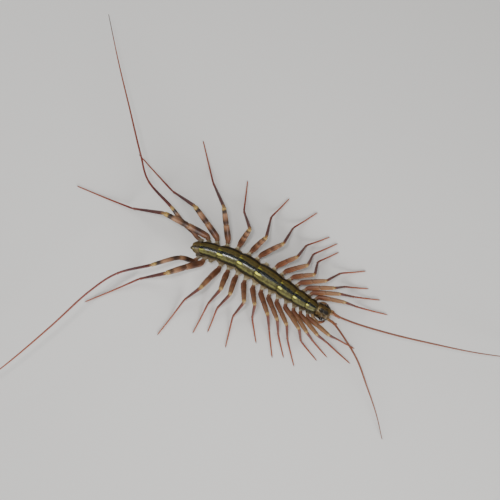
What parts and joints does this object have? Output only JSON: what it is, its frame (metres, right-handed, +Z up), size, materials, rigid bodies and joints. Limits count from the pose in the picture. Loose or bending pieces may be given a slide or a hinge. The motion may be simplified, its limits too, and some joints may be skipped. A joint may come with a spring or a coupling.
{
  "type": "house centipede",
  "caption": "Still life-size model of a house centipede: plated trunk, long thin standing legs, trailing last legs and whip-like antennae.",
  "frame": {"origin": "on the floor, under the middle of the whole model's bounding box", "axes": "+X towards the head, +Y to the animal's left, +Z up from the floor it stands on"},
  "size_m": [0.1072, 0.0822, 0.0102],
  "materials": {
    "body_plate": "olive-yellow chitin with a dark middle stripe, softly glossy",
    "head_shell": "olive-brown chitin, softly glossy",
    "leg": "brown chitin with dark bands and yellow joints, softly glossy",
    "feeler": "orange-brown chitin, finely ringed",
    "mouthpart": "tan chitin, softly glossy",
    "eye": "near black, glossy, finely faceted"
  },
  "bodies": {
    "root": {"antenna_left": "feeler", "antenna_right": "feeler", "eye_left": "eye", "eye_right": "eye", "forcipule_left": "mouthpart", "forcipule_right": "mouthpart", "head": "head_shell", "leg_left_01": "leg", "leg_left_02": "leg", "leg_left_03": "leg", "leg_left_04": "leg", "leg_left_05": "leg", "leg_left_06": "leg", "leg_left_07": "leg", "leg_left_09": "leg", "leg_left_10": "leg", "leg_left_11": "leg", "leg_left_12": "leg", "leg_left_13": "leg", "leg_left_14": "leg", "leg_left_15": "leg", "leg_right_01": "leg", "leg_right_02": "leg", "leg_right_03": "leg", "leg_right_04": "leg", "leg_right_05": "leg", "leg_right_06": "leg", "leg_right_07": "leg", "leg_right_08": "leg", "leg_right_09": "leg", "leg_right_10": "leg", "leg_right_11": "leg", "leg_right_12": "leg", "leg_right_14": "leg", "leg_right_15": "leg", "palp_left": "mouthpart", "palp_right": "mouthpart", "telson": "body_plate", "trunk_1": "body_plate", "trunk_2": "body_plate", "trunk_3": "body_plate", "trunk_4": "body_plate", "trunk_5": "body_plate", "trunk_6": "body_plate", "trunk_7": "body_plate", "trunk_8": "body_plate"}
  },
  "joints": []
}
